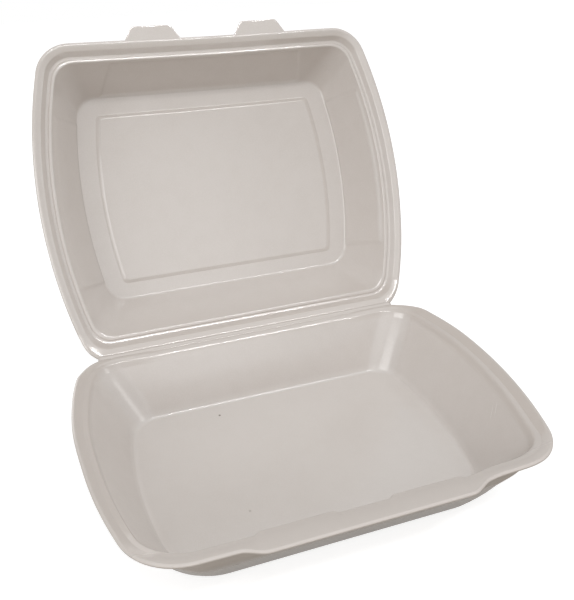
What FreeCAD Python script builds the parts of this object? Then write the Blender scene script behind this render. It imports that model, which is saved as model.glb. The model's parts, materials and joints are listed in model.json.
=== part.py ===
import FreeCAD, Part
import os
import math
import Sketcher

# One-compartment foam clamshell: a deep tray and a domed lid, pressed from one
# sheet and joined along the back by a creased strip. The origin is the middle of
# the tray's flat foot, +X runs along the hinge, +Y points to the hinge, +Z is up.
# The lid is drawn shut above its own hinge line and then swung open.

os.makedirs("parts", exist_ok=True)
doc = FreeCAD.newDocument("FoamClamshell")
sheet = doc.addObject("Spreadsheet::Sheet", "Sizes")

SIZES = [
    ("rim_height", 44.3, "tray rim above the table"),
    ("rim_half_width", 120.0, "middle of the box to the tray rim at its widest"),
    ("hinge_y", 85.2, "hinge line behind the middle of the foot"),
    ("hinge_drop", 3.2, "hinge line below the rim"),
    ("hinge_inset", 21.0, "end of the creased strip in from the widest part of the rim"),
    ("hinge_gap", 0.2, "end of each strip to the hinge line"),
    ("seam_gap", 0.3, "between the two rims when the lid is shut"),
    ("open_angle", 111.0, "how far the lid stands open"),
    ("band_width", 4.4, "flat outer band of both rims"),
    ("ridge_depth", 5.0, "rim down to the top of the wall, inside"),
    ("tray_flange", 6.4, "tray rim to the top of its wall"),
    ("tray_front", 97.7, "tray rim in front of the foot's middle"),
    ("tray_bow_radius", 300.0, "bow of the tray's long sides"),
    ("tray_bow_y", 8.5, "widest place of the tray rim"),
    ("tray_front_corner", 31.0, "tray rim, front corners"),
    ("tray_back_corner", 34.0, "tray rim, hinge corners"),
    ("tray_ridge_front_corner", 24.6, "top of the tray wall, front corners"),
    ("tray_ridge_back_corner", 20.0, "top of the tray wall, hinge corners"),
    ("tray_ramp", 21.0, "length over which the tray rim dips to the hinge"),
    ("tray_rim_thickness", 2.2, "sheet in the tray rim"),
    ("tray_wall", 3.2, "tray wall, measured level"),
    ("tray_floor", 2.8, "tray floor"),
    ("floor_half_width", 91.7, "tray floor at its widest, inside"),
    ("floor_half_depth", 66.2, "tray floor front to back, inside"),
    ("floor_bow_radius", 260.0, "bow of the floor's sides"),
    ("floor_front_corner", 30.0, "tray floor, front corners"),
    ("floor_back_corner", 18.0, "tray floor, hinge corners"),
    ("foot_margin", 0.4, "flat of the foot outside the floor's edge"),
    ("lip_reach", 4.2, "front lip beyond the tray rim"),
    ("lip_half_length", 50.0, "straight part of the front lip"),
    ("lip_slope", 8.0, "length of the lip's sloping ends"),
    ("pad_reach", 1.8, "catch pads into the tray"),
    ("pad_place", 32.0, "middle of each catch pad from the middle of the box"),
    ("pad_half_length", 17.0, "straight part of a catch pad"),
    ("pad_slope", 3.0, "length of a catch pad's sloping ends"),
    ("lid_side_step", 1.3, "lid rim inside the tray rim at the sides"),
    ("lid_flange", 8.0, "lid rim to the top of its wall"),
    ("lid_front", 189.5, "hinge line to the lid's front edge"),
    ("lid_bow_radius", 290.0, "bow of the lid's sides"),
    ("lid_bow_place", 86.0, "widest place of the lid from the hinge line"),
    ("lid_front_corner", 22.0, "lid rim, front corners"),
    ("lid_back_corner", 30.0, "lid rim, hinge corners"),
    ("lid_ridge_corner", 14.0, "top of the lid wall, all corners"),
    ("lid_ramp", 16.0, "length over which the lid rim dips to the hinge"),
    ("lid_rim_thickness", 1.8, "sheet in the lid rim"),
    ("lid_wall", 2.3, "lid wall, measured level"),
    ("lid_plate", 2.0, "top plate of the lid"),
    ("lid_depth", 38.2, "lid rim to the inside of the top plate"),
    ("ridge_back_space", 4.4, "hinge line to the top of the tray's back wall"),
    ("lid_ridge_back_space", 8.6, "hinge line to the top of the lid's back wall"),
    ("plate_half_width", 91.4, "top plate at its widest, inside"),
    ("plate_back", 31.1, "hinge line to the near edge of the top plate"),
    ("plate_front", 163.9, "hinge line to the far edge of the top plate"),
    ("plate_bow_radius", 296.0, "bow of the top plate's sides"),
    ("plate_bow_place", 93.4, "widest place of the top plate from the hinge line"),
    ("plate_corner", 14.0, "corners of the top plate"),
    ("panel_half_width", 79.0, "raised panel in the top plate, at its widest"),
    ("panel_bow_radius", 283.0, "bow of the raised panel's sides"),
    ("panel_corner", 3.0, "corners of the raised panel"),
    ("panel_back", 42.0, "hinge line to the near edge of the raised panel"),
    ("panel_front", 152.0, "hinge line to the far edge of the raised panel"),
    ("panel_rise", 1.3, "raised panel above the plate, inside"),
    ("tab_place", 34.3, "middle of each tab from the middle of the lid"),
    ("tab_base_half", 16.9, "half a tab where it leaves the lid"),
    ("tab_tip_half", 11.8, "half a tab at its tip"),
    ("tab_reach", 7.8, "tab beyond the lid's front edge"),
    ("tab_corner", 3.0, "rounded tips of the tabs"),
    ("tab_thickness", 1.4, "pressed sheet of the tabs"),
    ("root_share", 0.25, "part of a lip's or tab's reach that is rooted in the rim"),
    ("cut_spare", 20.0, "how far cutting shapes run past the box"),
]

for number, (alias, size, meaning) in enumerate(SIZES, start=1):
    sheet.set("A%d" % number, meaning)
    sheet.set("B%d" % number, str(size))
    sheet.setAlias("B%d" % number, alias)
doc.recompute()


def cell(alias):
    return "Sizes." + alias


def value(expression):
    return float(sheet.evalExpression(expression))


def origin_plane(body, role):
    for plane in body.Origin.OriginFeatures:
        if plane.Role == role:
            return plane
    raise RuntimeError("no plane " + role)


def new_sketch(body, name, role="XY_Plane", height=None):
    sketch = body.newObject("Sketcher::SketchObject", name)
    sketch.AttachmentSupport = [(origin_plane(body, role), "")]
    sketch.MapMode = "FlatFace"
    if height is not None:
        sketch.setExpression("AttachmentOffset.Base.z", height)
    return sketch


def bind(sketch, kind, places, name, expression):
    """Add one driving constraint whose size follows the sheet."""
    index = sketch.addConstraint(Sketcher.Constraint(kind, *places, value(expression)))
    sketch.renameConstraint(index, name)
    sketch.setExpression("Constraints." + name, expression)


def polygon_sketch(body, name, points, role="XY_Plane", height=None):
    """A closed outline of straight lines through points given as expressions."""
    sketch = new_sketch(body, name, role, height)
    add_polygon(sketch, points, "p")
    return sketch


def add_polygon(sketch, points, prefix):
    spots = [FreeCAD.Vector(value(across), value(along), 0) for across, along in points]
    first = sketch.GeometryCount
    count = len(spots)
    for number in range(count):
        sketch.addGeometry(Part.LineSegment(spots[number], spots[(number + 1) % count]))
    for number in range(count):
        following = first + (number + 1) % count
        sketch.addConstraint(Sketcher.Constraint("Coincident", first + number, 2, following, 1))
    for number, (across, along) in enumerate(points):
        corner = (-1, 1, first + number, 1)
        bind(sketch, "DistanceX", corner, "%s%dx" % (prefix, number), across)
        bind(sketch, "DistanceY", corner, "%s%dy" % (prefix, number), along)


# A rim, wall or floor outline is a rectangle with bowed sides. It is told by
# expressions for its half width, front and back, the radius and the place of the
# bow, its corners, and the half length of a back edge that meets them at an angle.
def outline(width, front, back, bow, bow_y, front_corner, back_corner, back_half=None):
    return {"width": width, "front": front, "back": back, "bow": bow, "bow_y": bow_y,
            "front_corner": front_corner, "back_corner": back_corner, "back_half": back_half}


def grown(shape, extra):
    """The same outline, moved outwards by extra all round."""
    result = dict(shape)
    for key in ("width", "back", "bow", "front_corner", "back_corner"):
        result[key] = "(%s) + (%s)" % (shape[key], extra)
    result["front"] = "(%s) - (%s)" % (shape["front"], extra)
    return result


def corner_centre(bow_centre, bow, radius, edge_y):
    """Centre of a corner that touches the bow and a straight edge."""
    towards = 1 if edge_y > bow_centre.y else -1
    centre_y = edge_y - towards * radius
    reach = math.sqrt((bow - radius) ** 2 - (centre_y - bow_centre.y) ** 2)
    return FreeCAD.Vector(bow_centre.x + reach, centre_y, 0)


def hinge_corner_centre(bow_centre, bow, radius, end):
    """Centre of a corner that touches the bow and runs into the hinge's end."""
    line = end - bow_centre
    distance = line.Length
    near = bow - radius
    cosine = (near ** 2 + distance ** 2 - radius ** 2) / (2 * near * distance)
    angle = math.atan2(line.y, line.x) - math.acos(cosine)
    return bow_centre + FreeCAD.Vector(near * math.cos(angle), near * math.sin(angle), 0)


def outline_sketch(body, name, shape, height, frame=None):
    """Draw an outline at a height, inside a square frame if one is asked for."""
    sketch = new_sketch(body, name, "XY_Plane", height)
    size = {key: value(text) for key, text in shape.items() if text}
    bow = size["bow"]
    bow_centre = FreeCAD.Vector(size["width"] - bow, size["bow_y"], 0)
    front_radius = size["front_corner"]
    back_radius = size["back_corner"]
    front_centre = corner_centre(bow_centre, bow, front_radius, size["front"])
    if shape["back_half"]:
        back_end = FreeCAD.Vector(size["back_half"], size["back"], 0)
        back_centre = hinge_corner_centre(bow_centre, bow, back_radius, back_end)
    else:
        back_centre = corner_centre(bow_centre, bow, back_radius, size["back"])
        back_end = FreeCAD.Vector(back_centre.x, size["back"], 0)
    front_end = FreeCAD.Vector(front_centre.x, size["front"], 0)

    def angle_from(centre, spot):
        return math.atan2(spot.y - centre.y, spot.x - centre.x)

    def mirrored(spot):
        return FreeCAD.Vector(-spot.x, spot.y, 0)

    def arc(centre, radius, start, end):
        circle = Part.Circle(centre, FreeCAD.Vector(0, 0, 1), radius)
        return Part.ArcOfCircle(circle, start, end)

    low = angle_from(bow_centre, front_centre)
    high = angle_from(bow_centre, back_centre)
    last = angle_from(back_centre, back_end)
    turn = math.pi
    sketch.addGeometry([
        Part.LineSegment(mirrored(front_end), front_end),
        arc(front_centre, front_radius, -turn / 2, low),
        arc(bow_centre, bow, low, high),
        arc(back_centre, back_radius, high, last),
        Part.LineSegment(back_end, mirrored(back_end)),
        arc(mirrored(back_centre), back_radius, turn - last, turn - high),
        arc(mirrored(bow_centre), bow, turn - high, turn - low),
        arc(mirrored(front_centre), front_radius, turn - low, turn * 3 / 2)])
    edge_count = sketch.GeometryCount
    for number in range(edge_count):
        following = (number + 1) % edge_count
        at_hinge = shape["back_half"] and number in (3, 4)
        kind = "Coincident" if at_hinge else "Tangent"
        sketch.addConstraint(Sketcher.Constraint(kind, number, 2, following, 1))
    for edge in (0, 4):
        sketch.addConstraint(Sketcher.Constraint("Symmetric", edge, 1, edge, 2, -2))
    radii = {1: "front_corner", 2: "bow", 3: "back_corner",
             5: "back_corner", 6: "bow", 7: "front_corner"}
    for number, key in radii.items():
        bind(sketch, "Radius", (number,), "%s%d" % (key, number), shape[key])
    bind(sketch, "DistanceY", (-1, 1, 0, 1), "front", shape["front"])
    bind(sketch, "DistanceY", (-1, 1, 4, 1), "back", shape["back"])
    bow_x = "(%s) - (%s)" % (shape["width"], shape["bow"])
    bind(sketch, "DistanceX", (-1, 1, 2, 3), "bow_x", bow_x)
    bind(sketch, "DistanceY", (-1, 1, 2, 3), "bow_y", shape["bow_y"])
    if shape["back_half"]:
        bind(sketch, "DistanceX", (-1, 1, 4, 1), "back_half", shape["back_half"])
        bind(sketch, "DistanceY", (-1, 1, 6, 3), "bow_y_left", shape["bow_y"])
    if frame:
        corners = [("-(%s)" % frame, "-(%s)" % frame), (frame, "-(%s)" % frame),
                   (frame, frame), ("-(%s)" % frame, frame)]
        add_polygon(sketch, corners, "frame")
    return sketch


def feature(body, kind, name, profile):
    result = body.newObject("PartDesign::" + kind, name)
    result.Profile = profile
    profile.Visibility = False
    return result


def loft(body, kind, name, sections):
    result = feature(body, kind, name, sections[0])
    result.Sections = sections[1:]
    result.Ruled = True
    return result


def across_box(body, kind, name, sketch):
    """Pad or pocket of a side profile, to both sides of the box's middle."""
    result = feature(body, kind, name, sketch)
    result.Midplane = True
    result.setExpression("Length", "2 * (%s + %s)" % (cell("rim_half_width"), cell("cut_spare")))
    return result


def through_all(body, name, sketch):
    result = feature(body, "Pocket", name, sketch)
    result.Type = "ThroughAll"
    return result


def pad_from(body, name, sketch, length, reverse=False):
    result = feature(body, "Pad", name, sketch)
    result.setExpression("Length", length)
    result.Reversed = reverse
    return result


def hinge_half():
    return "%s - %s" % (cell("rim_half_width"), cell("hinge_inset"))


# Tray outlines, seen from above
def tray_outlines():
    back_wall = "%s - %s" % (cell("hinge_y"), cell("ridge_back_space"))
    rim = outline(cell("rim_half_width"), "-" + cell("tray_front"),
                  "%s - %s" % (cell("hinge_y"), cell("hinge_gap")),
                  cell("tray_bow_radius"), cell("tray_bow_y"), cell("tray_front_corner"),
                  cell("tray_back_corner"), hinge_half())
    ridge = outline("%s - %s" % (cell("rim_half_width"), cell("tray_flange")),
                    "%s - %s" % (cell("tray_flange"), cell("tray_front")), back_wall,
                    "%s - %s" % (cell("tray_bow_radius"), cell("tray_flange")),
                    cell("tray_bow_y"), cell("tray_ridge_front_corner"),
                    cell("tray_ridge_back_corner"))
    floor = outline(cell("floor_half_width"), "-" + cell("floor_half_depth"),
                    cell("floor_half_depth"), cell("floor_bow_radius"),
                    cell("tray_bow_y"), cell("floor_front_corner"),
                    cell("floor_back_corner"))
    return rim, ridge, floor


# Lid outlines, seen from above with the lid shut and the hinge line at zero
def lid_outlines():
    rim_width = "%s - %s" % (cell("rim_half_width"), cell("lid_side_step"))
    rim = outline(rim_width, "-" + cell("lid_front"), "-" + cell("hinge_gap"),
                  cell("lid_bow_radius"), "-" + cell("lid_bow_place"),
                  cell("lid_front_corner"), cell("lid_back_corner"),
                  hinge_half())
    ridge = outline("%s - %s" % (rim_width, cell("lid_flange")),
                    "%s - %s" % (cell("lid_flange"), cell("lid_front")),
                    "-" + cell("lid_ridge_back_space"),
                    "%s - %s" % (cell("lid_bow_radius"), cell("lid_flange")),
                    "-" + cell("lid_bow_place"), cell("lid_ridge_corner"),
                    cell("lid_ridge_corner"))
    plate = outline(cell("plate_half_width"), "-" + cell("plate_front"),
                    "-" + cell("plate_back"), cell("plate_bow_radius"),
                    "-" + cell("plate_bow_place"), cell("plate_corner"),
                    cell("plate_corner"))
    return rim, ridge, plate


def pressed_shell(body, outlines, rim_face, way, sizes):
    """Rim, walls and bottom of one half, hollowed to an even sheet.

    outlines: its rim, the top of its wall and its bottom. rim_face: height of the
    face that meets the other half. way: -1 where the hollow goes down from that
    face, 1 where it goes up. sizes: expressions for this half's own sheet.
    """
    rim, ridge, bottom = outlines
    name = body.Label
    drop = cell("hinge_drop")
    sign = "+" if way > 0 else "-"

    def level(depth):
        return "%s %s (%s)" % (rim_face, sign, depth)

    spare = cell("cut_spare")
    beyond = level("-(%s) - %s" % (drop, spare))
    far_beyond = level("-(%s) - 2 * %s" % (drop, spare))
    band = grown(ridge, "%s - %s" % (sizes["flange"], cell("band_width")))
    band_outside = grown(band, sizes["wall"] + " / 2")
    outside = [
        outline_sketch(body, name + "_foot", grown(bottom, cell("foot_margin")),
                       level("%s + %s" % (sizes["depth"], sizes["bottom"]))),
        outline_sketch(body, name + "_bottom_outside", grown(bottom, sizes["wall"]),
                       level(sizes["depth"])),
        outline_sketch(body, name + "_ridge_outside", grown(ridge, sizes["wall"]),
                       level(cell("ridge_depth"))),
        outline_sketch(body, name + "_band_outside", band_outside,
                       level(sizes["rim"] + " / 2")),
        outline_sketch(body, name + "_skirt", band_outside, beyond)]
    loft(body, "AdditiveLoft", name + "_tub", outside)

    # The rim is one bent sheet: flat, then dipping to the hinge line
    front = "%s - %s" % (rim["front"], spare)
    end = rim["back"]
    ramp = "%s - (%s)" % (sizes["hinge_line"], sizes["ramp"])
    dipped = "%s - (%s)" % (rim_face, drop)
    profile = [(front, level(sizes["rim"])), (ramp, level(sizes["rim"])),
               (end, "%s %s %s" % (dipped, sign, sizes["rim"])),
               (end, beyond), (front, beyond)]
    rim_profile = polygon_sketch(body, name + "_rim_profile", profile, "YZ_Plane")
    across_box(body, "Pad", name + "_rim_sheet", rim_profile)
    high = "%s + %s + %s" % (cell("rim_height"), cell("lid_depth"), spare)
    trim = outline_sketch(body, name + "_trim_line", rim, high,
                          "%s + %s" % (cell("rim_half_width"), cell("lid_front")))
    through_all(body, name + "_trim", trim)
    seam = [(front, rim_face), (ramp, rim_face), (sizes["hinge_line"], dipped),
            (sizes["hinge_line"], far_beyond), (front, far_beyond)]
    seam_profile = polygon_sketch(body, name + "_seam_profile", seam, "YZ_Plane")
    across_box(body, "Pocket", name + "_seam", seam_profile)

    inside = [
        outline_sketch(body, name + "_mouth", band, beyond),
        outline_sketch(body, name + "_band_inside", band, rim_face),
        outline_sketch(body, name + "_ridge_inside", ridge, level(cell("ridge_depth"))),
        outline_sketch(body, name + "_bottom_inside", bottom, level(sizes["depth"]))]
    loft(body, "SubtractiveLoft", name + "_hollow", inside)


def trapezoid(body, name, middle, edge, half, slope, reach, height):
    """A pad or lip on a straight edge: long side on the edge, reach beyond it."""
    far = "%s + (%s)" % (edge, reach)
    root = "%s - (%s) * %s" % (edge, reach, cell("root_share"))
    wide = "(%s) + (%s)" % (half, slope)
    points = [("%s - (%s)" % (middle, wide), root), ("%s + %s" % (middle, wide), root),
              ("%s + %s" % (middle, wide), edge), ("%s + %s" % (middle, half), far),
              ("%s - (%s)" % (middle, half), far), ("%s - (%s)" % (middle, wide), edge)]
    return polygon_sketch(body, name, points, height=height)


def new_body(name):
    body = doc.addObject("PartDesign::Body", name)
    body.Label = name
    doc.recompute()
    return body


def build_tray():
    body = new_body("tray")
    rim_face = cell("rim_height")
    thickness = cell("tray_rim_thickness")
    sizes = {"flange": cell("tray_flange"), "wall": cell("tray_wall"),
             "bottom": cell("tray_floor"), "rim": thickness,
             "depth": "%s - %s" % (rim_face, cell("tray_floor")),
             "ramp": cell("tray_ramp"), "hinge_line": cell("hinge_y")}
    pressed_shell(body, tray_outlines(), rim_face, -1, sizes)

    # The lip that the lid's tabs are tucked under, and the two pads above it
    front = "-" + cell("tray_front")
    lip = trapezoid(body, "lip_outline", "0", front, cell("lip_half_length"),
                    cell("lip_slope"), "-" + cell("lip_reach"), rim_face)
    pad_from(body, "lip", lip, thickness, True)
    inner_edge = "%s + %s" % (front, cell("band_width"))
    for side, sign in (("left", "-"), ("right", "")):
        pad = trapezoid(body, side + "_pad_outline", sign + cell("pad_place"), inner_edge,
                        cell("pad_half_length"), cell("pad_slope"), cell("pad_reach"),
                        rim_face)
        pad_from(body, side + "_catch_pad", pad, thickness, True)
    return body


def build_lid():
    body = new_body("lid")
    rim_face = "%s + %s" % (cell("hinge_drop"), cell("seam_gap"))
    sizes = {"flange": cell("lid_flange"), "wall": cell("lid_wall"),
             "bottom": cell("lid_plate"), "rim": cell("lid_rim_thickness"),
             "depth": cell("lid_depth"), "ramp": cell("lid_ramp"), "hinge_line": "0"}
    pressed_shell(body, lid_outlines(), rim_face, 1, sizes)

    # The middle of the top plate is pressed inwards, so it is recessed outside
    plate_inside = "%s + %s" % (rim_face, cell("lid_depth"))
    rise = cell("panel_rise")
    panel = outline(cell("panel_half_width"), "-" + cell("panel_front"),
                    "-" + cell("panel_back"), cell("panel_bow_radius"),
                    "-" + cell("plate_bow_place"), cell("panel_corner"),
                    cell("panel_corner"))
    raised = outline_sketch(body, "panel_outline", panel, "%s - %s" % (plate_inside, rise))
    pad_from(body, "panel", raised, "%s + %s / 2" % (rise, cell("lid_plate")))
    recess_shape = grown(panel, "-%s / 2" % cell("lid_plate"))
    recess = outline_sketch(body, "recess_outline", recess_shape,
                            "%s + %s" % (plate_inside, cell("lid_plate")))
    pocket = feature(body, "Pocket", "panel_recess", recess)
    pocket.setExpression("Length", rise)

    # Two tabs on the front edge, with rounded tips
    for side, sign in (("left", "-"), ("right", "")):
        tab = trapezoid(body, side + "_tab_outline", sign + cell("tab_place"),
                        "-" + cell("lid_front"), cell("tab_tip_half"),
                        "%s - %s" % (cell("tab_base_half"), cell("tab_tip_half")),
                        "-" + cell("tab_reach"), rim_face)
        pad_from(body, side + "_tab", tab, cell("tab_thickness"))
    doc.recompute()
    tip_y = value("-%s - %s" % (cell("lid_front"), cell("tab_reach")))
    half_sheet = value(cell("tab_thickness")) / 2
    last_tab = body.Tip
    tips = []
    for number, edge in enumerate(last_tab.Shape.Edges, start=1):
        upright = abs(edge.Vertexes[0].Z - edge.Vertexes[-1].Z) > half_sheet
        if upright and abs(edge.CenterOfMass.y - tip_y) < half_sheet:
            tips.append("Edge%d" % number)
    rounding = body.newObject("PartDesign::Fillet", "tab_tips")
    rounding.Base = (last_tab, tips)
    rounding.setExpression("Radius", cell("tab_corner"))
    return body


def swing_open(body):
    """Carry the shut lid to the hinge line and open it to its standing angle."""
    turn = FreeCAD.Rotation(FreeCAD.Vector(1, 0, 0), -value(cell("open_angle")))
    body.Placement = FreeCAD.Placement(FreeCAD.Vector(0, 0, 0), turn)
    body.setExpression("Placement.Base.y", cell("hinge_y"))
    body.setExpression("Placement.Base.z", "%s - %s" % (cell("rim_height"), cell("hinge_drop")))
    body.setExpression("Placement.Rotation.Angle", "-" + cell("open_angle"))


pieces = [build_tray(), build_lid()]
swing_open(pieces[1])
doc.recompute()

for item in doc.Objects:
    if "Invalid" in item.State or "Error" in item.State:
        raise RuntimeError("%s failed: %s" % (item.Label, item.State))
for piece in pieces:
    if piece.Shape.isNull() or not piece.Shape.isValid() or len(piece.Shape.Solids) != 1:
        raise RuntimeError(piece.Label + " has no sound solid")
for piece in pieces:
    piece.Shape.exportStep("parts/%s.step" % piece.Label)
    print(piece.Label, round(piece.Shape.Volume), piece.Shape.BoundBox)
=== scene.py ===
import json
import math

import bpy
import numpy as np
from mathutils import Matrix, Vector


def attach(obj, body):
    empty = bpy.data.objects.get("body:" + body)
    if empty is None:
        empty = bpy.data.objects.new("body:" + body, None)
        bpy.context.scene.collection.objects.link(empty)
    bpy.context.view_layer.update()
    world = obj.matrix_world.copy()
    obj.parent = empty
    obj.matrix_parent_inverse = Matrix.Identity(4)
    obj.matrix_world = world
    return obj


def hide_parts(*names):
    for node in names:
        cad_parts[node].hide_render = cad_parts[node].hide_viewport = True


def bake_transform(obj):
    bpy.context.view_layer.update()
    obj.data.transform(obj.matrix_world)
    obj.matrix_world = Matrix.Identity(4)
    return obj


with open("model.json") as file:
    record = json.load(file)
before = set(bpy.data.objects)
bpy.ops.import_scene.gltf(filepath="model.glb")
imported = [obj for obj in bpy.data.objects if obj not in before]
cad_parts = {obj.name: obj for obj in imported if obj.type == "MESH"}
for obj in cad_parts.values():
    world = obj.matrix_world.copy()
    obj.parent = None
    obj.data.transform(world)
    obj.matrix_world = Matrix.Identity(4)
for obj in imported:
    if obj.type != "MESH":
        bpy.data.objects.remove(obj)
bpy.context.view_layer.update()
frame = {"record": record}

# The hinge and the open angle come from the frame, everything else is in millimetres
lidJoint = frame["record"]["behaviour"]["joints"][0]
hingeY = lidJoint["pos_m"][1] * 1000
hingeZ = lidJoint["pos_m"][2] * 1000
openAngle = math.radians(-lidJoint["range_deg"][0])
metre = 0.001

# A point of a ring within this of its front edge counts as on it
nearFront = 0.5

# Both halves share the hinge's length, its dip below the rims and the gap between the rims.
# Its left end is spread outwards between two x places, and less so away from the hinge line
hinge = {"half": 99.0, "drop": 3.2, "gap": 0.2,
         "leftSpread": 2.0, "spreadX": (70.0, 99.0), "spreadAway": (2.0, 16.0)}

# How far the right rims and the front left corner stand up, and the places where that begins and ends
warp = {"right": 2.2, "rightX": (60.0, 118.0), "rightY": (20.0, 80.0),
        "corner": 0.9, "cornerX": (40.0, 110.0), "cornerY": (40.0, 90.0)}


def smoothStep(low, high, value):
    t = np.clip((value - low) / (high - low), 0, 1)
    return t * t * (3 - 2 * t)


def band(value, rise, fall):
    # 0 below the rise, 1 between rise and fall, 0 above the fall
    return smoothStep(*rise, value) * (1 - smoothStep(*fall, value))


def softMax(a, b, softness):
    # The larger of two values, with a soft change from one to the other
    return 0.5 * (a + b + np.sqrt((a - b) ** 2 + softness ** 2))


def window(x, middle, half, slope):
    # 1 within half of the middle, easing to 0 over slope
    return 1 - smoothStep(half, half + slope, np.abs(x - middle))


def arcPoints(centre, radius, start, end, shares):
    angles = start + (end - start) * shares
    return np.column_stack((centre[0] + radius * np.cos(angles), centre[1] + radius * np.sin(angles)))


def cornerCentre(bowCentre, bow, radius, edgeY):
    # The middle of a round corner between a bowed side and a straight front or back
    towards = 1 if edgeY > bowCentre[1] else -1
    y = edgeY - towards * radius
    reach = math.sqrt((bow - radius) ** 2 - (y - bowCentre[1]) ** 2)
    return np.array([bowCentre[0] + reach, y])


def hingeCornerCentre(bowCentre, bow, radius, end):
    # The same for a corner that ends at a given point of the hinge line
    line = np.array(end) - bowCentre
    far = np.hypot(*line)
    near = bow - radius
    cosine = (near ** 2 + far ** 2 - radius ** 2) / (2 * near * far)
    angle = math.atan2(line[1], line[0]) - math.acos(cosine)
    return bowCentre + near * np.array([math.cos(angle), math.sin(angle)])


def bowedRing(size, shares):
    # A rectangle with bowed sides and round corners, from the middle of its front round to the left
    bow = size["bow"]
    bowCentre = np.array([size["width"] - bow, size["bowY"]])
    frontCentre = cornerCentre(bowCentre, bow, size["frontCorner"], size["front"])
    backEnd = size.get("backEnd")
    if backEnd:
        backCentre = hingeCornerCentre(bowCentre, bow, size["backCorner"], (backEnd, size["back"]))
    else:
        backCentre = cornerCentre(bowCentre, bow, size["backCorner"], size["back"])
        backEnd = backCentre[0]
    low = math.atan2(frontCentre[1] - bowCentre[1], frontCentre[0] - bowCentre[0])
    high = math.atan2(backCentre[1] - bowCentre[1], backCentre[0] - bowCentre[0])
    last = math.atan2(size["back"] - backCentre[1], backEnd - backCentre[0])
    frontX = shares["front"] * frontCentre[0]
    backX = backEnd * (1 - shares["back"])
    half = np.vstack((
        np.column_stack((frontX, np.full_like(frontX, size["front"])))[:-1],
        arcPoints(frontCentre, size["frontCorner"], -math.pi / 2, low, shares["corner"])[:-1],
        arcPoints(bowCentre, bow, low, high, shares["bow"])[:-1],
        arcPoints(backCentre, size["backCorner"], high, last, shares["corner"])[:-1],
        np.column_stack((backX, np.full_like(backX, size["back"])))))
    mirrored = half[1:-1][::-1] * [-1, 1]
    return np.vstack((half, mirrored))


def roundedSection(corners, step):
    # Turns (inwards, depth, radius, step after it) corners into a fine line with arcs at the corners.
    # An arc takes at most a share of the run beside it, and a long straight run gets a support point
    # close to each end, which keeps its shading flat
    arcAngle = math.radians(13)
    roomShare = 0.46
    support = 0.3
    points = [np.array(c[:2], float) for c in corners]
    steps = [corners[0][3] if len(corners[0]) > 3 else step]
    line = [points[0]]
    for before, (spot, corner), after in zip(points, zip(points[1:], corners[1:]), points[2:]):
        a = (before - spot) / np.linalg.norm(before - spot)
        b = (after - spot) / np.linalg.norm(after - spot)
        turn = math.pi - math.acos(np.clip(a @ b, -1, 1))
        room = roomShare * min(np.linalg.norm(before - spot), np.linalg.norm(after - spot))
        reach = min(corner[2] * math.tan(turn / 2), room)
        radius = reach / math.tan(turn / 2)
        centre = spot + (a + b) / np.linalg.norm(a + b) * radius / math.cos(turn / 2)
        count = max(3, round(turn / arcAngle))
        start = spot + a * reach - centre
        end = spot + b * reach - centre
        for share in np.linspace(0, 1, count + 1):
            mixed = start * (1 - share) + end * share
            line.append(centre + mixed / np.linalg.norm(mixed) * radius)
        steps += [corner[3] if len(corner) > 3 else step] * (count + 1)
    line.append(points[-1])
    fine = [line[0]]
    for spot, step in zip(line[1:], steps):
        gap = np.linalg.norm(spot - fine[-1])
        if gap > 2 * step:
            first = fine[-1]
            along = (spot - first) / gap
            inner = list(np.linspace(0, gap, round(gap / step) + 1)[1:-1])
            fine += [first + along * s for s in [support] + inner + [gap - support]]
        fine.append(spot)
    return np.array(fine)


def loftRings(rings, section, keys):
    # Places each point of a section between the key rings; keys are the rings' distances inwards.
    # place counts rings: 0 on the first, 1 on the second, and parts of 1 between them
    place = np.interp(section[:, 0], keys, range(len(keys)))
    whole = np.clip(np.floor(place).astype(int), 0, len(keys) - 2)
    part = (place - whole)[:, None, None]
    stack = np.array(rings)
    return stack[whole] * (1 - part) + stack[whole + 1] * part, place


def ringFaces(rows, count):
    # Faces between rows of rings with count points each, closed by a face at each end
    faces = [tuple(range(count))[::-1]]
    for row in range(rows - 1):
        for spot in range(count):
            following = (spot + 1) % count
            faces.append((row * count + spot, row * count + following,
                          (row + 1) * count + following, (row + 1) * count + spot))
    faces.append(tuple((rows - 1) * count + spot for spot in range(count)))
    return faces


def meshPiece(name, layers, extra=()):
    # layers: rows of rings of points from one pole to the other; extra: more (vertices, faces)
    faces = ringFaces(*layers.shape[:2])
    vertices = [tuple(v) for v in layers.reshape(-1, 3) * metre]
    for moreVertices, moreFaces in extra:
        first = len(vertices)
        vertices += [tuple(v) for v in moreVertices * metre]
        faces += [tuple(first + v for v in face) for face in moreFaces]
    mesh = bpy.data.meshes.new(name)
    mesh.from_pydata(vertices, [], faces)
    mesh.validate()
    mesh.update()
    mesh.polygons.foreach_set("use_smooth", [True] * len(mesh.polygons))
    piece = bpy.data.objects.new(name, mesh)
    bpy.context.scene.collection.objects.link(piece)
    return piece


def sharesOf(counts):
    # Even shares from 0 to 1 along each stretch of a ring, from the number of its steps
    return {stretch: np.linspace(0, 1, count + 1) for stretch, count in counts.items()}


def spreadHinge(x, y, z):
    # The left end of the creased strip reaches out a little further
    near = 1 - smoothStep(*hinge["spreadAway"], np.hypot(y - hingeY, z - hingeZ))
    return x - hinge["leftSpread"] * smoothStep(*hinge["spreadX"], -x) * near


def rimWarp(x, y):
    # The right rims of the real one stand up a little, and so does its front left corner
    right = warp["right"] * smoothStep(*warp["rightX"], x) * (1 - smoothStep(*warp["rightY"], y))
    return right + warp["corner"] * smoothStep(*warp["cornerX"], -x) * smoothStep(*warp["cornerY"], -y)


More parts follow.
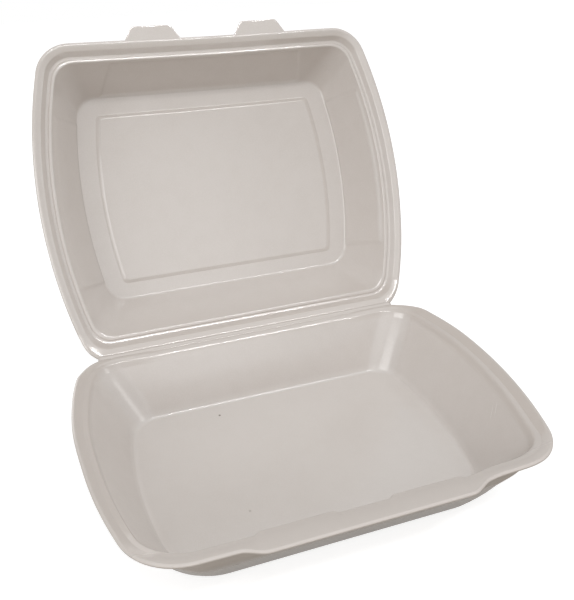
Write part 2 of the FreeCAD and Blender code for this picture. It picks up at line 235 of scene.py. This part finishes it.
# Tray. Its rings are the rim, the ridge, the floor's edge and the middle. A pair of numbers is
# where an effect begins and ends: along x or y in millimetres, or from ring to ring
tray = {"rimZ": 44.3, "halfWidth": 120.0, "front": -97.7, "bow": 300.0, "bowY": 8.5,
        "flange": 6.4, "depth": 41.5, "sheet": 2.8, "rimSheet": 2.2, "wallSheet": 3.2,
        "ramp": 21.0, "ridgeBack": 4.4, "ridgeCorner": 20.0,
        "floorHalfWidth": 91.7, "floorHalfDepth": 66.2,
        "floorBow": 260.0, "floorCorner": 18.0, "floorFrontCorner": 30.0,
        "frontCorner": 31.0, "backCorner": 34.0, "innerRun": 3.0, "edgeMiddle": 1.8, "softness": 0.2,
        "sectionStep": 4.0, "steps": {"front": 64, "corner": 14, "bow": 56, "back": 44},
        "lipReach": 4.2, "lipHalf": 48.0, "lipSlope": 13.0, "lipFall": (0.25, 0.85),
        "padReach": 1.8, "padPlace": 32.0, "padHalf": 17.0, "padSlope": 3.0,
        "padRise": (0.3, 0.7), "padFall": (1.1, 1.5),
        "cornerTuck": 3.0, "cornerX": (70.0, 95.0), "cornerY": (-75.0, -45.0),
        "cornerRise": (0.1, 0.5), "cornerFall": (1.1, 1.8),
        "rightTuck": 2.4, "rightRise": (50.0, 70.0), "rightFall": (78.0, 100.0),
        "rightY": (-85.0, -60.0), "rightRings": (1.2, 1.9),
        "ledgeLift": 2.4, "ledgeRise": (0.25, 0.7), "ledgeFall": (1.1, 1.45), "ledgeY": (-88.0, -62.0),
        "hingeRings": [0.0, 0.5, 0.95, 1.02, 1.07, 1.5], "hingeDepths": [3.2, 3.7, 4.7, 5.1, 6.5, 21.8],
        "crispX": (62.0, 90.0), "crispY": 60.0, "crispInset": 0.4, "crispLast": 1.5, "crispRim": 0.3,
        "leftBulge": 1.2, "bulgeX": (80.0, 118.0), "bulgeMiddle": 32.0, "bulgeHalf": 12.0,
        "bulgeSlope": 42.0}


def makeTray():
    shares = sharesOf(tray["steps"])
    rim = bowedRing({"width": tray["halfWidth"], "front": tray["front"], "back": hingeY - hinge["gap"],
                     "bow": tray["bow"], "bowY": tray["bowY"], "frontCorner": tray["frontCorner"],
                     "backCorner": tray["backCorner"], "backEnd": hinge["half"]}, shares)
    ridge = bowedRing({"width": tray["halfWidth"] - tray["flange"], "front": tray["front"] + tray["flange"],
                       "back": hingeY - tray["ridgeBack"], "bow": tray["bow"] - tray["flange"],
                       "bowY": tray["bowY"], "frontCorner": tray["frontCorner"] - tray["flange"],
                       "backCorner": tray["ridgeCorner"]}, shares)
    floor = bowedRing({"width": tray["floorHalfWidth"], "front": -tray["floorHalfDepth"],
                       "back": tray["floorHalfDepth"], "bow": tray["floorBow"], "bowY": tray["bowY"],
                       "frontCorner": tray["floorFrontCorner"], "backCorner": tray["floorCorner"]}, shares)
    centre = np.tile([0.0, 0.0], (len(rim), 1))
    floorEdge = tray["halfWidth"] - tray["floorHalfWidth"]
    middle = floorEdge + tray["floorHalfDepth"]
    depth = tray["depth"]
    bottom = depth + tray["sheet"]
    inner = middle - tray["innerRun"]
    # From the floor's middle up the inside, over the rim and down the outside
    corners = [(inner, depth, 0), (floorEdge, depth, 2.6), (9.6, 8.2, 2.5), (8.1, 4.4, 1.8),
               (5.4, 3.7, 1.4), (1.4, 0.2, 2.2), (0, 1.0, 1.3), (0.2, 2.0, 1.0),
               (2.0, 3.6, 1.5), (3.6, 7.5, 3.0),
               (floorEdge - tray["wallSheet"], depth, 4.0), (floorEdge - 0.4, bottom, 3.0),
               (inner, bottom, 0)]
    section = roundedSection(corners, tray["sectionStep"])
    flat, place = loftRings([rim, ridge, floor, centre], section, [0, tray["flange"], floorEdge, middle])
    fromEdge = section[:, 0] + 0.01 * np.abs(section[:, 1] - tray["edgeMiddle"])
    outside = np.arange(len(section)) > np.argmin(fromEdge)
    x = flat[:, :, 0]
    y = flat[:, :, 1].copy()
    frontSide = (rim[:, 1] < tray["front"] + nearFront).astype(float)[None, :]

    # The lip that the lid's tabs are tucked under, and the two pads above it
    lip = window(x, 0, tray["lipHalf"], tray["lipSlope"]) * tray["lipReach"]
    lipShare = (1 - smoothStep(*tray["lipFall"], place))[:, None]
    y -= lip * lipShare * frontSide
    pads = sum(window(x, side * tray["padPlace"], tray["padHalf"], tray["padSlope"]) for side in (-1, 1))
    padShare = (band(place, tray["padRise"], tray["padFall"]) * ~outside)[:, None]
    y += pads * padShare * frontSide * tray["padReach"]

    # The outer wall stays a little further in below the front corners and right of the lip
    atCorner = smoothStep(*tray["cornerX"], np.abs(x)) * (1 - smoothStep(*tray["cornerY"], y))
    under = (band(place, tray["cornerRise"], tray["cornerFall"]) * outside)[:, None]
    x -= np.sign(x) * tray["cornerTuck"] * atCorner * under
    y += tray["cornerTuck"] * atCorner * under
    atRight = band(x, tray["rightRise"], tray["rightFall"]) * (1 - smoothStep(*tray["rightY"], y))
    y += tray["rightTuck"] * atRight * (1 - smoothStep(*tray["rightRings"], place))[:, None]

    # Along the front the ledge inside the rim stands higher, so that the flange there is nearly flat
    ledge = band(place, tray["ledgeRise"], tray["ledgeFall"]) * ~outside
    lifted = tray["ledgeLift"] * ledge[:, None] * (1 - smoothStep(*tray["ledgeY"], y))

    # The rim bends down to the hinge line
    dip = hinge["drop"] * np.clip((y - (hingeY - tray["ramp"])) / tray["ramp"], 0, 1)
    depths = section[:, 1]
    sheet = np.where(section[:, 0] < 1, np.clip(depths, 0, tray["rimSheet"]),
                     np.where(outside, tray["rimSheet"], 0))[:, None]
    down = softMax(depths[:, None] - sheet, dip, tray["softness"]) + sheet

    # The edge at the top of the wall is crisp beside the hinge
    crisp = np.interp(place, tray["hingeRings"], tray["hingeDepths"])[:, None]
    beside = (1 - smoothStep(*tray["crispX"], np.abs(rim[:, 0]))) * (rim[:, 1] > tray["crispY"])
    inside = ~outside & (place < tray["crispLast"]) & (section[:, 0] > tray["crispInset"])
    onRim = (place < tray["crispRim"])[:, None]
    down = down + (np.maximum(crisp, down * onRim) - down) * (beside[None, :] * inside[:, None])
    z = tray["rimZ"] - down + lifted

    # The real one is warped a little, and its left rim bulges
    height = np.clip(z / tray["rimZ"], 0, 1)
    z += rimWarp(x, y) * height
    alongLeft = window(y, tray["bulgeMiddle"], tray["bulgeHalf"], tray["bulgeSlope"])
    x -= tray["leftBulge"] * smoothStep(*tray["bulgeX"], -x) * height * alongLeft
    return np.dstack((spreadHinge(x, y, z), y, z))


traySkin = meshPiece("tray_skin", makeTray())
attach(traySkin, "tray")
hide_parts("tray")
print("tray", len(traySkin.data.polygons), "faces")

# Lid, made flat in (x, distance from the hinge, depth from the hinge plane) and turned open. Its
# rings are the rim, the ridge, the edge of the top, the raised panel and the middle
lid = {"halfWidth": 118.7, "front": 189.5, "bow": 290.0, "bowPlace": 86.0,
       "frontCorner": 22.0, "backCorner": 30.0, "innerCorner": 14.0, "panelCorner": 3.0,
       "face": 3.5, "flange": 8.0, "sheet": 2.0, "wallSheet": 2.3, "depth": 38.2,
       "ramp": 16.0, "rampFall": (1.0, 1.6), "ridgeBack": 8.4,
       "plateHalfWidth": 91.4, "plateBack": 31.1, "plateFront": 163.9, "plateBow": 296.0,
       "plateBowPlace": 93.4, "plateEdge": 27.3,
       "panelHalfWidth": 79.0, "panelBow": 283.0, "panelBack": 42.0, "panelFront": 152.0,
       "panelRise": 1.3, "panelInset": 15.0, "innerHalf": 55.0, "innerRun": 3.0,
       "embossing": 0.8, "embossRise": (0.2, 0.25), "embossFall": (0.95, 1.0), "embossSlope": 1.2,
       "frontHalf": 59.0, "frontWidening": 9.0, "sideMiddle": 96.0, "sideHalf": 51.0, "sideWidening": 1.5,
       "sideFrom": (0.75, 0.9),
       "middleSag": 0.5, "cornerSag": 1.0, "sagWidth": 97.0, "sagPower": 1.5, "skew": 6.5e-5,
       "leftBulge": 3.0, "leftPower": 2.2, "rightBulge": 1.0, "rightX": (60.0, 118.0),
       "rightFrom": (10.0, 50.0), "farLimit": 1.1,
       "sectionStep": 3.6, "steps": {"front": 96, "corner": 14, "bow": 96, "back": 40}}


def openLid(x, s, d):
    # Places points of the flat lid in the frame, with the slight warp of the real one
    far = np.clip(s / lid["front"], 0, lid["farLimit"])
    sag = lid["middleSag"] + lid["cornerSag"] * np.abs(x / lid["sagWidth"]) ** lid["sagPower"]
    s = s + far ** 2 * sag - lid["skew"] * x * s
    x = x - lid["leftBulge"] * np.clip(-x / lid["halfWidth"], 0, 1) ** 2 * far ** lid["leftPower"]
    d = d + rimWarp(x, hingeY - s) * (1 - smoothStep(0, lid["depth"], d))
    x = x + lid["rightBulge"] * smoothStep(*lid["rightX"], x) * smoothStep(*lid["rightFrom"], s)
    y = hingeY - s * math.cos(openAngle) + d * math.sin(openAngle)
    z = hingeZ + s * math.sin(openAngle) + d * math.cos(openAngle)
    return np.stack((spreadHinge(x, y, z), y, z), axis=-1)


def makeLid():
    shares = sharesOf(lid["steps"])
    rim = bowedRing({"width": lid["halfWidth"], "front": -lid["front"], "back": -hinge["gap"],
                     "bow": lid["bow"], "bowY": -lid["bowPlace"], "frontCorner": lid["frontCorner"],
                     "backCorner": lid["backCorner"], "backEnd": hinge["half"]}, shares)
    ridge = bowedRing({"width": lid["halfWidth"] - lid["flange"], "front": lid["flange"] - lid["front"],
                       "back": -lid["ridgeBack"], "bow": lid["bow"] - lid["flange"],
                       "bowY": -lid["bowPlace"], "frontCorner": lid["innerCorner"],
                       "backCorner": lid["innerCorner"]}, shares)
    plate = bowedRing({"width": lid["plateHalfWidth"], "front": -lid["plateFront"],
                       "back": -lid["plateBack"], "bow": lid["plateBow"], "bowY": -lid["plateBowPlace"],
                       "frontCorner": lid["innerCorner"], "backCorner": lid["innerCorner"]}, shares)
    panel = bowedRing({"width": lid["panelHalfWidth"], "front": -lid["panelFront"],
                       "back": -lid["panelBack"], "bow": lid["panelBow"], "bowY": -lid["plateBowPlace"],
                       "frontCorner": lid["panelCorner"], "backCorner": lid["panelCorner"]}, shares)
    panelMiddle = -(lid["panelFront"] + lid["panelBack"]) / 2
    centre = np.tile([0.0, panelMiddle], (len(rim), 1))
    plateEdge = lid["plateEdge"]
    panelEdge = plateEdge + lid["panelInset"]
    middle = panelEdge + lid["innerHalf"]
    inner = middle - lid["innerRun"]
    depth = lid["depth"]
    sheet = lid["sheet"]
    raised = depth - lid["panelRise"]
    # From the middle of the top down the inside, over the rim and up the outside
    corners = [(inner, raised, 0), (panelEdge + 1.6, raised, 1.6), (panelEdge - 0.8, depth, 1.2),
               (plateEdge, depth, 2.2, 1.6), (11.7, 6.2, 1.2), (10.8, 4.4, 0.9), (9.3, 4.6, 0.5),
               (8.6, 5.5, 0.4), (7.1, 5.3, 0.9), (4.8, 1.4, 1.5), (1.5, 0.0, 1.5), (0, 0.7, 0.8),
               (0, 1.8, 0.7), (3.3, 1.9, 0.9), (5.4, 6.6, 0.9), (9.3, 7.2, 0.9), (10.0, 8.0, 1.0),
               (plateEdge - lid["wallSheet"], depth, 4.0), (plateEdge - 0.8, depth + sheet, 3.0),
               (panelEdge - 0.5, depth + sheet, 1.0), (panelEdge + 0.9, raised + sheet, 0.7),
               (inner, raised + sheet, 0)]
    section = roundedSection(corners, lid["sectionStep"])
    flat, place = loftRings([rim, ridge, plate, panel, centre], section,
                            [0, lid["flange"], plateEdge, panelEdge, middle])
    x = flat[:, :, 0].copy()
    s = -flat[:, :, 1]

    # A shallow panel pressed outwards in the front wall, and one inwards in each side wall
    onFront = (rim[:, 1] < nearFront - lid["front"]).astype(float)[None, :]
    wallShare = place[:, None] - 1
    pressed = band(wallShare, lid["embossRise"], lid["embossFall"])
    frontHalf = lid["frontHalf"] + lid["frontWidening"] * wallShare
    frontPanel = window(x, 0, frontHalf, lid["embossSlope"]) * onFront * pressed
    s += lid["embossing"] * frontPanel
    sideShare = smoothStep(*lid["sideFrom"], np.abs(x) / lid["plateHalfWidth"]) * (1 - onFront)
    sideHalf = lid["sideHalf"] + lid["sideWidening"] * (1 - wallShare)
    sidePanel = window(s, lid["sideMiddle"], sideHalf, lid["embossSlope"]) * sideShare * pressed
    x -= np.sign(x) * lid["embossing"] * sidePanel

    # Near the hinge the rim bends towards the hinge line
    inFlange = (1 - smoothStep(*lid["rampFall"], place))[:, None]
    ramp = np.clip((lid["ramp"] - s) / lid["ramp"], 0, 1) * inFlange
    d = lid["face"] + section[:, 1][:, None] - hinge["drop"] * ramp
    return openLid(x, s, d)


# The lid's two tabs
tab = {"place": 34.3, "base": 16.9, "tip": 11.8, "reach": 7.8, "sheet": 1.4,
       "corner": 3.0, "rootCorner": 0.4, "root": 1.6, "lift": 0.35, "sectionStep": 1.5}


def makeTab(middle):
    # A flat tongue with round tips that grows out of the rim's front edge
    base, tip, reach, corner = tab["base"], tab["tip"], tab["reach"], tab["corner"]
    root = -tab["root"]
    outline = [(base, root, 0), (base, 0, tab["rootCorner"]), (tip, reach, corner),
               (-tip, reach, corner), (-base, 0, tab["rootCorner"]), (-base, root, 0)]
    edge = roundedSection(outline, tab["sectionStep"])
    count = len(edge)
    # How far each ring lies inside the outline, and its height: the edges are rounded
    heights = [(1.0, 0.0), (0.25, 0.0), (0.08, 0.06), (0.0, 0.25), (0.0, tab["sheet"] - 0.25),
               (0.08, tab["sheet"] - 0.06), (0.25, tab["sheet"]), (1.0, tab["sheet"])]
    heart = np.array([0, reach / 2])
    vertices = []
    for inset, height in heights:
        inward = heart - edge
        inward /= np.linalg.norm(inward, axis=1)[:, None]
        ring = edge + inward * inset
        d = lid["face"] + tab["lift"] + height
        vertices.append(openLid(middle + ring[:, 0], lid["front"] + ring[:, 1], np.full(count, d)))
    return np.vstack(vertices), ringFaces(len(heights), count)


lidSkin = meshPiece("lid_skin", makeLid(), [makeTab(-tab["place"]), makeTab(tab["place"])])
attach(lidSkin, "lid")
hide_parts("lid")
print("lid", len(lidSkin.data.polygons), "faces")

# The creased strip that joins the two halves: it curves from inside the tray's rim, past a bend
# by the hinge line, to inside the lid's rim
strip = {"steps": 160, "rows": 7, "radius": 0.55,
         "start": (-1.3, -0.75), "bend": (0.1, -0.3), "lidReach": 1.2, "lidDepth": 1.1}


def makeStrip():
    lidEnd = openLid(np.array([0.0]), np.array([strip["lidReach"]]), np.array([strip["lidDepth"]]))[0]
    path = [(hingeY + strip["start"][0], hingeZ + strip["start"][1]),
            (hingeY + strip["bend"][0], hingeZ + strip["bend"][1]), (lidEnd[1], lidEnd[2])]
    start, bend, end = [np.array(p) for p in path]
    shares = np.linspace(0, 1, strip["rows"])
    middles = [start * (1 - t) ** 2 + bend * 2 * t * (1 - t) + end * t * t for t in shares]
    sides = []
    for before, after in zip(middles, middles[1:]):
        way = (after - before) / np.linalg.norm(after - before)
        sides.append(np.array([-way[1], way[0]]))
    sides.append(sides[-1])
    upper = [m + side * strip["radius"] for m, side in zip(middles, sides)]
    lower = [m - side * strip["radius"] for m, side in zip(middles, sides)]
    profile = np.array(upper + lower[::-1])
    spots = np.linspace(-hinge["half"], hinge["half"], strip["steps"] + 1)
    spots = spreadHinge(spots, hingeY, hingeZ)
    return np.array([np.column_stack((np.full(len(profile), x), profile)) for x in spots])


hingeStrip = meshPiece("hinge_strip", makeStrip())

# Half a width across the hinge line, in metres; the sums below it are worked out and not used
across = 0.0016
hingeY * metre - 0.766 * across
hingeZ * metre - 0.643 * across
hingeY * metre + 0.766 * across
hingeZ * metre + 0.643 * across
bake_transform(hingeStrip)
print("hinge strip", len(hingeStrip.data.polygons), "faces")


class Wire:
    # A socket of a material with arithmetic
    def __init__(self, tree, socket=None):
        self.tree = tree
        self.socket = socket

    def node(self, kind, inputs, output=0, **settings):
        made = self.tree.nodes.new("ShaderNode" + kind)
        for name, value in settings.items():
            setattr(made, name, value)
        for name, value in inputs.items():
            if isinstance(value, Wire):
                self.tree.links.new(value.socket, made.inputs[name])
            else:
                made.inputs[name].default_value = value
        return Wire(self.tree, made.outputs[output])

    def maths(self, operation, first, second=0.0):
        return self.node("Math", {0: first, 1: second}, operation=operation)

    def __add__(self, other):
        return self.maths("ADD", self, other)

    __radd__ = __add__

    def __sub__(self, other):
        return self.maths("SUBTRACT", self, other)

    def __rsub__(self, other):
        return self.maths("SUBTRACT", other, self)

    def __mul__(self, other):
        return self.maths("MULTIPLY", self, other)

    __rmul__ = __mul__

    def between(self, low, high):
        # 0 below low, 1 above high, smooth between
        return self.node("MapRange", {"Value": self, "From Min": low, "From Max": high},
                         interpolation_type="SMOOTHSTEP")

    def blendTo(self, first, second):
        # Mixes two colours by this wire
        return self.node("Mix", {0: self, 6: first, 7: second}, 2, data_type="RGBA")

    def nearLine(self, place, turn, half):
        # 1 in the middle of a small stretched spot at a place in metres, fading to 0 at its edge
        local = self.node("Mapping", {"Vector": self, "Location": place, "Rotation": turn, "Scale": half},
                          vector_type="TEXTURE")
        length = self.node("VectorMath", {0: local}, 1, operation="LENGTH")
        return 1 - length.between(0.5, 1.0)


def newMaterial(name):
    material = bpy.data.materials.new(name)
    material.use_nodes = True
    material.node_tree.nodes.clear()
    return material, Wire(material.node_tree)


def finishMaterial(net, shader):
    output = net.tree.nodes.new("ShaderNodeOutputMaterial")
    net.tree.links.new(shader.socket, output.inputs["Surface"])


# Foam, in metres: colours, the height and scale of each kind of bump, and how high the floor's painted
# light and the rim's painted shade reach
foam = {"base": (0.655, 0.610, 0.578, 1), "shade": (0.625, 0.578, 0.543, 1),
        "dark": (0.25, 0.22, 0.19, 1), "pale": (0.80, 0.77, 0.74, 1), "rim": (0.595, 0.545, 0.508, 1),
        "waveShare": 0.3, "mottleShare": 0.3, "grainShare": 0.4, "toneLow": 0.25, "toneHigh": 0.65,
        "roughness": 0.18, "roughnessChange": 0.1, "gloss": 1.0, "refraction": 1.7,
        "grainScale": 1500.0, "grain": 0.000022, "pimpleScale": 500.0, "pimples": 0.000008,
        "waveScale": 28.0, "wave": 0.00012, "mottleScale": 110.0,
        "floorLightShare": 0.28, "floorTop": 0.008, "floorFade": 0.004,
        "rimShadeRise": (0.036, 0.040), "rimShadeFall": (0.047, 0.053),
        "mattFront": (0.082, 0.092), "mattness": 0.45}

# Small marks, in metres: two dark specks on the floor and two scratches on the right wall
marks = {"specks": [((-0.0343, 0.0541, 0.0028), 1.0), ((-0.0399, -0.0338, 0.0028), 0.35)],
         "speckSize": (0.0009, 0.0011, 0.0015), "speckTurn": (0.0, 0.0, 0.0),
         "scratches": [(0.1026, -0.0356, 0.0294), (0.1043, -0.0370, 0.0323)],
         "scratchSize": (0.004, 0.00045, 0.0055), "scratchTurn": (-0.56, 0.5, 0.0),
         "scratchPaleness": 0.6, "scratchDepth": 0.0001}


def makeFoam():
    material, net = newMaterial("foam")
    place = net.node("TexCoord", {}, "Object")
    slow = net.node("TexNoise", {"Vector": place, "Scale": foam["waveScale"], "Detail": 2.0}, "Fac")
    pimples = net.node("TexNoise", {"Vector": place, "Scale": foam["pimpleScale"], "Detail": 1.0}, "Fac")
    grain = net.node("TexVoronoi", {"Vector": place, "Scale": foam["grainScale"], "Smoothness": 0.6},
                     "Distance", feature="SMOOTH_F1")
    mottle = net.node("TexNoise", {"Vector": place, "Scale": foam["mottleScale"], "Detail": 3.0}, "Fac")
    tone = foam["waveShare"] * slow + foam["mottleShare"] * mottle + foam["grainShare"] * grain
    colour = tone.between(foam["toneLow"], foam["toneHigh"]).blendTo(foam["shade"], foam["base"])
    rise = net.node("SeparateXYZ", {0: place}, "Z")
    # Painted light: the tray's floor and the bottom below it are painted paler, to lighten them
    paintedFloorLight = (foam["floorTop"] - rise).between(0.0, foam["floorFade"])
    colour = (foam["floorLightShare"] * paintedFloorLight).blendTo(colour, foam["pale"])
    # Painted shade: the rim band and the hinge zone are painted darker with the rim colour
    paintedRimShade = rise.between(*foam["rimShadeRise"]) * (1 - rise.between(*foam["rimShadeFall"]))
    colour = paintedRimShade.blendTo(colour, foam["rim"])
    for spot, strength in marks["specks"]:
        near = place.nearLine(spot, marks["speckTurn"], marks["speckSize"])
        colour = (strength * near).blendTo(colour, foam["dark"])
    scratched = 0
    for spot in marks["scratches"]:
        scratched = scratched + place.nearLine(spot, marks["scratchTurn"], marks["scratchSize"])
    colour = (marks["scratchPaleness"] * scratched).blendTo(colour, foam["pale"])
    height = pimples * foam["pimples"] + grain * foam["grain"] + slow * foam["wave"]
    height = height - marks["scratchDepth"] * scratched
    bump = net.node("Bump", {"Height": height, "Strength": 1.0, "Distance": 1.0})

    # The cut edge along the tray's front is matt
    frontwards = 0 - net.node("SeparateXYZ", {0: place}, "Y")
    matt = frontwards.between(*foam["mattFront"])
    roughness = foam["roughness"] + foam["roughnessChange"] * (slow - 0.5) + foam["mattness"] * matt
    shader = net.node("BsdfPrincipled", {"Base Color": colour, "Roughness": roughness, "Normal": bump,
                                         "IOR": foam["refraction"], "Specular IOR Level": foam["gloss"]})
    finishMaterial(net, shader)
    return material


foamMaterial = makeFoam()
for piece in (traySkin, lidSkin, hingeStrip):
    piece.data.materials.append(foamMaterial)
print("materials done")

# Floor, white to the camera
floorLook = {"half": 3.0, "mottleScale": 2.0, "brown": (0.19, 0.15, 0.10, 1),
             "lightBrown": (0.21, 0.165, 0.115, 1), "pale": (0.5, 0.5, 0.5, 1), "glow": 0.75,
             "mirroredShare": 0.4}


def makeFloor():
    half = floorLook["half"]
    mesh = bpy.data.meshes.new("floor")
    mesh.from_pydata([(-half, -half, 0), (half, -half, 0), (half, half, 0), (-half, half, 0)], [],
                     [(0, 1, 2, 3)])
    floor = bpy.data.objects.new("floor", mesh)
    bpy.context.scene.collection.objects.link(floor)
    material, net = newMaterial("floor")
    seen = net.node("LightPath", {}, "Is Camera Ray")
    mirrored = net.node("LightPath", {}, "Is Glossy Ray")
    mottle = net.node("TexNoise", {"Scale": floorLook["mottleScale"]}, "Fac")
    brown = mottle.blendTo(floorLook["brown"], floorLook["lightBrown"])
    dull = net.node("BsdfDiffuse", {"Color": brown})
    pale = net.node("BsdfDiffuse", {"Color": floorLook["pale"]})
    glow = net.node("Emission", {"Color": (1, 1, 1, 1), "Strength": floorLook["glow"]})
    white = net.node("AddShader", {0: pale, 1: glow})
    whiteShare = seen + floorLook["mirroredShare"] * mirrored
    finishMaterial(net, net.node("MixShader", {0: whiteShare, 1: dull, 2: white}))
    mesh.materials.append(material)


# Studio: soft light from all round. Each lamp has its direction, its two sides in metres and its power
studio = {"ambient": 0.62, "ambientColour": (1, 0.995, 0.985, 1), "distance": 1.5,
          "target": (0, 0.03, 0.08),
          "lamps": {"overhead": ((0.1, -0.57, 0.82), (0.9, 0.08), 5.9),
                    "front": ((-0.1, -0.97, 0.2), (1.2, 1.2), 1.5),
                    "right": ((0.85, -0.47, 0.25), (0.4, 0.4), 0.5),
                    "left": ((-0.8, -0.55, 0.2), (1.0, 1.0), 5.2),
                    "top": ((0.25, 0.0, 0.97), (1.0, 1.0), 1.0),
                    "behind": ((-0.3, 0.93, 0.12), (1.0, 1.0), 3.0)}}


def makeWorld():
    world = bpy.data.worlds.new("studio")
    world.use_nodes = True
    world.node_tree.nodes.clear()
    net = Wire(world.node_tree)
    seen = net.node("LightPath", {}, "Is Camera Ray")
    soft = net.node("Background", {"Color": studio["ambientColour"], "Strength": studio["ambient"]})
    white = net.node("Background", {"Color": (1, 1, 1, 1), "Strength": 1.0})
    mixed = net.node("MixShader", {0: seen, 1: soft, 2: white})
    output = world.node_tree.nodes.new("ShaderNodeOutputWorld")
    world.node_tree.links.new(mixed.socket, output.inputs["Surface"])
    bpy.context.scene.world = world


def makeLamp(name, direction, size, power):
    light = bpy.data.lights.new(name, "AREA")
    light.shape = "RECTANGLE"
    light.size, light.size_y = size
    light.energy = power
    lamp = bpy.data.objects.new(name, light)
    aim = Vector(direction).normalized()
    lamp.location = Vector(studio["target"]) + aim * studio["distance"]
    lamp.rotation_euler = aim.to_track_quat("Z", "Y").to_euler()
    bpy.context.scene.collection.objects.link(lamp)


makeFloor()
makeWorld()
for name, (direction, size, power) in studio["lamps"].items():
    makeLamp(name, direction, size, power)
print("studio done")

# Camera, as found from the photo: its place in metres, its angles in degrees and its lens
camera = {"place": (-0.10496, -0.30894, 0.26887), "turn": -18.02, "height": 26.87, "roll": -2.0,
          "lens": 42.467}
turn, height, roll = [math.radians(camera[k]) for k in ("turn", "height", "roll")]
back = Vector((math.sin(turn) * math.cos(height), -math.cos(turn) * math.cos(height), math.sin(height)))
level = Vector((math.cos(turn), math.sin(turn), 0))
upward = back.cross(level)
right = level * math.cos(roll) + upward * math.sin(roll)
upward = back.cross(right)
cameraData = bpy.data.cameras.new("camera")
cameraData.sensor_width = 36
cameraData.lens = camera["lens"]
cameraData.clip_start = 0.01
cameraObject = bpy.data.objects.new("camera", cameraData)
cameraObject.matrix_world = Matrix.Translation(camera["place"]) @ Matrix(
    (right, upward, back)).transposed().to_4x4()
bpy.context.scene.collection.objects.link(cameraObject)
bpy.context.scene.camera = cameraObject
bpy.context.scene.view_settings.view_transform = "Standard"
print("camera done")
